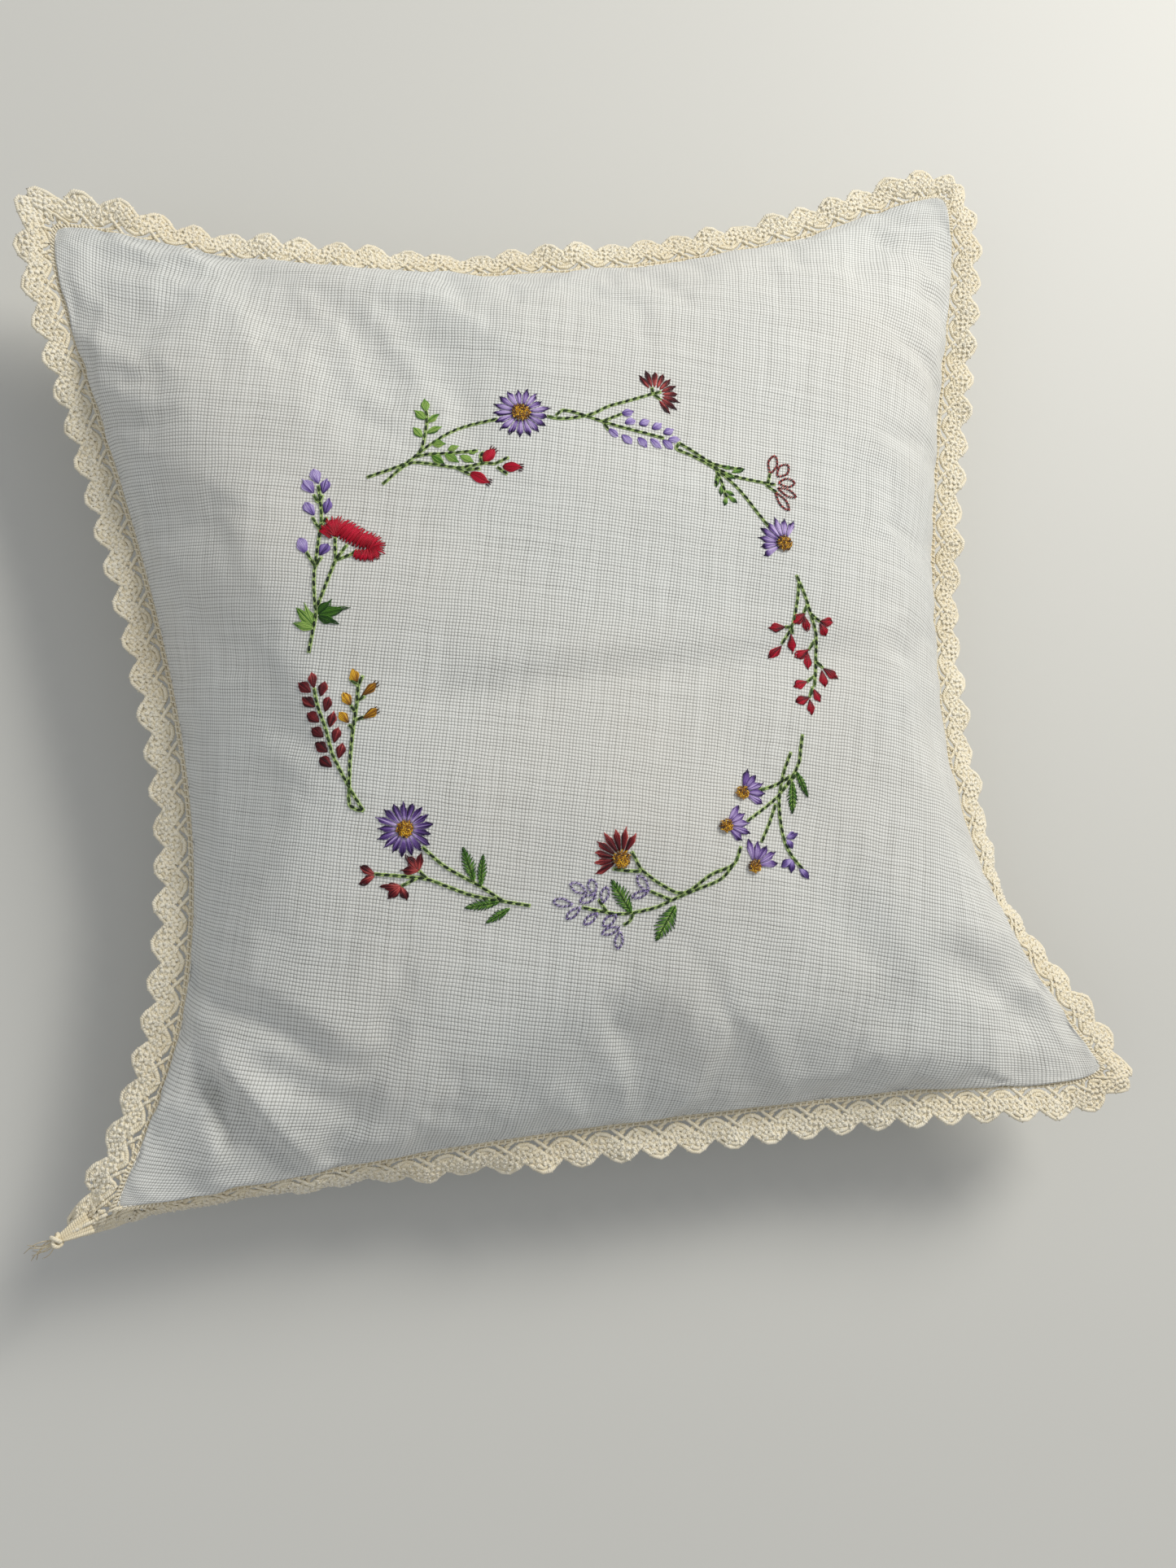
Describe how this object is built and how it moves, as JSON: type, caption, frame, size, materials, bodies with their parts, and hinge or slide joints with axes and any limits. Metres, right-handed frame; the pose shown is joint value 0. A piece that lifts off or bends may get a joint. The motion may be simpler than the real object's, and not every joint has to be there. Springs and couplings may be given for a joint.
{
  "type": "ring bearer pillow",
  "caption": "Square stuffed ring cushion with an embroidered wildflower wreath on its cotton face, an envelope back and a scalloped cotton lace edge.",
  "frame": {"origin": "on the surface that the back rests on, under the middle of the cushion's box", "axes": "+Z out of the embroidered face, +Y towards the top of the design, +X to the right of the design"},
  "size_m": [0.3093, 0.3092, 0.0804],
  "materials": {
    "cotton_cloth": "matt slubby plain weave",
    "fibre": "loose matt fibre",
    "insert_cloth": "plain matt woven",
    "lace": "matt braided cotton yarn",
    "sewing_thread": "matt spun thread",
    "thread_crimson": "satin stitch with a soft sheen",
    "thread_gold": "knotted stitch with a soft sheen",
    "thread_leaf_green": "satin stitch with a soft sheen",
    "thread_lilac": "satin stitch with a soft sheen",
    "thread_rust": "satin stitch with a soft sheen",
    "thread_stem_green": "soft sheen, two-tone twisted",
    "thread_violet": "satin stitch with a soft sheen"
  },
  "bodies": {
    "root": {"fibre_fill": "fibre", "insert_casing_front": "insert_cloth", "insert_casing_back": "insert_cloth", "front_panel": "cotton_cloth", "back_panel_lower": "cotton_cloth", "back_panel_upper": "cotton_cloth", "hem_thread_lower": "sewing_thread", "hem_thread_upper": "sewing_thread", "edge_seam_thread": "sewing_thread", "lace_top": "lace", "lace_right": "lace", "lace_bottom": "lace", "lace_left": "lace", "lace_tail": "lace", "aster_spray_stems": "thread_stem_green", "aster_spray_leaves": "thread_leaf_green", "aster_spray_petals": "thread_violet", "aster_spray_centre": "thread_gold", "aster_spray_buds": "thread_crimson", "cockscomb_stems": "thread_stem_green", "cockscomb_leaves": "thread_leaf_green", "cockscomb_flower": "thread_crimson", "cockscomb_lilac_buds": "thread_lilac", "bud_spray_stems": "thread_stem_green", "bud_spray_red_buds": "thread_rust", "bud_spray_yellow_buds": "thread_gold", "lower_aster_stems": "thread_stem_green", "lower_aster_leaves": "thread_leaf_green", "lower_aster_petals": "thread_violet", "lower_aster_centre": "thread_gold", "lower_aster_rust_buds": "thread_rust", "rust_daisy_stems": "thread_stem_green", "rust_daisy_leaves": "thread_leaf_green", "rust_daisy_petals": "thread_rust", "rust_daisy_centre": "thread_gold", "rust_daisy_lilac_loops": "thread_lilac", "three_aster_stems": "thread_stem_green", "three_aster_leaves": "thread_leaf_green", "three_aster_petals": "thread_violet", "three_aster_centres": "thread_gold", "three_aster_buds": "thread_lilac", "berry_stems": "thread_stem_green", "berry_buds": "thread_crimson", "right_aster_stems": "thread_stem_green", "right_aster_leaves": "thread_leaf_green", "right_aster_petals": "thread_violet", "right_aster_centre": "thread_gold", "right_aster_rust_loops": "thread_rust", "lavender_stems": "thread_stem_green", "lavender_buds": "thread_lilac", "lavender_daisy_petals": "thread_rust"}
  },
  "joints": []
}
